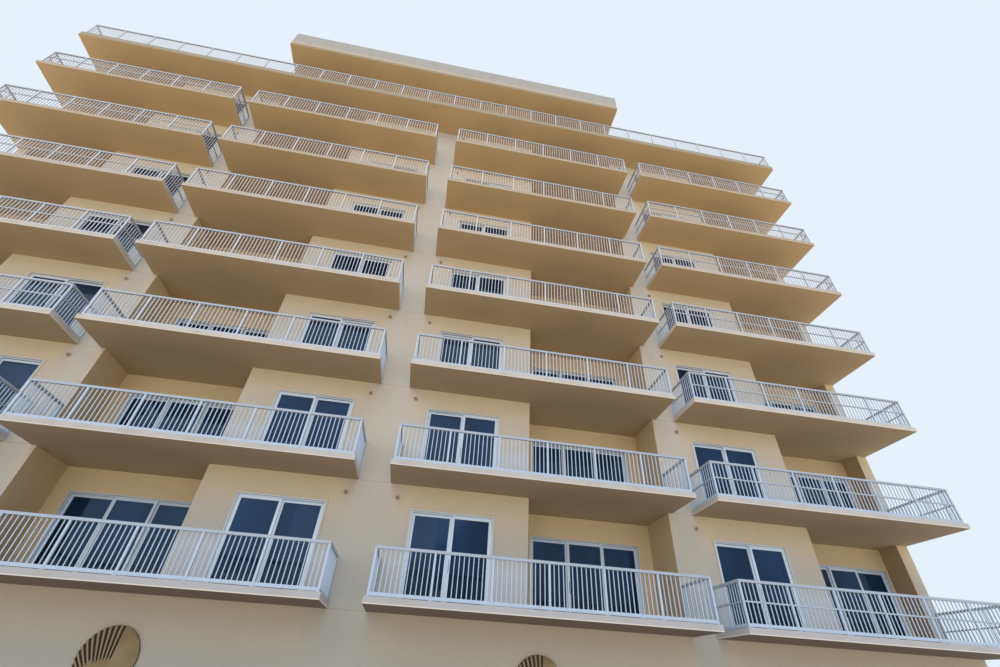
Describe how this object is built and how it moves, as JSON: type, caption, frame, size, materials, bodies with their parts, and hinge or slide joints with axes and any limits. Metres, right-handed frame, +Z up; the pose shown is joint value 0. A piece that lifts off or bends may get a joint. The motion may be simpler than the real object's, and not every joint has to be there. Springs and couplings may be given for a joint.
{
  "type": "apartment block",
  "caption": "Cream stucco apartment block with long cantilevered balconies, white railings, recessed sliding doors, a set-back top storey and round shell medallions.",
  "frame": {"origin": "middle of the footprint, at ground level", "axes": "+Z up, +X to the right along the balcony front seen from outside, -Y out of that front"},
  "size_m": [35.8, 14, 30.04],
  "materials": {
    "stucco": "matt painted stucco",
    "slab_paint": "matt painted concrete",
    "rail_paint": "satin white",
    "frame_paint": "satin white",
    "glass": "tinted, clear surface",
    "light_paint": "brown satin",
    "cast_shell": "matt cast stone"
  },
  "bodies": {
    "root": {"ground_front_wall": "stucco", "ground_side_walls": "stucco", "ground_rear_wall": "stucco", "floor_slab_1": "slab_paint", "floor_slab_2": "slab_paint", "floor_slab_3": "slab_paint", "floor_slab_4": "slab_paint", "floor_slab_5": "slab_paint", "floor_slab_6": "slab_paint", "floor_slab_7": "slab_paint", "terrace_slab": "slab_paint", "roof_slab": "slab_paint", "parapet_front_and_rear": "slab_paint", "parapet_sides": "slab_paint", "front_wall_piers": "stucco", "recess_side_walls": "stucco", "recess_wall_piers": "stucco", "front_door_lintels": "stucco", "recess_door_lintels": "stucco", "end_wall_left": "stucco", "end_wall_right": "stucco", "rear_wall": "stucco", "penthouse_end_walls": "stucco", "penthouse_rear_wall": "stucco", "railing_row_1": "rail_paint", "railing_row_2": "rail_paint", "railing_row_3": "rail_paint", "railing_row_4": "rail_paint", "railing_row_5": "rail_paint", "railing_row_6": "rail_paint", "railing_row_7": "rail_paint", "railing_returns": "rail_paint", "terrace_railing_front": "rail_paint", "terrace_railing_sides": "rail_paint", "terrace_railing_rear": "rail_paint", "two_panel_door_frames": "frame_paint", "three_panel_door_frames": "frame_paint", "two_panel_door_sashes": "frame_paint", "three_panel_door_sashes": "frame_paint", "two_panel_door_glass": "glass", "three_panel_door_glass": "glass", "rear_window_frames": "frame_paint", "rear_window_glass": "glass", "wall_lights": "light_paint", "shell_medallions": "cast_shell"}
  },
  "joints": []
}
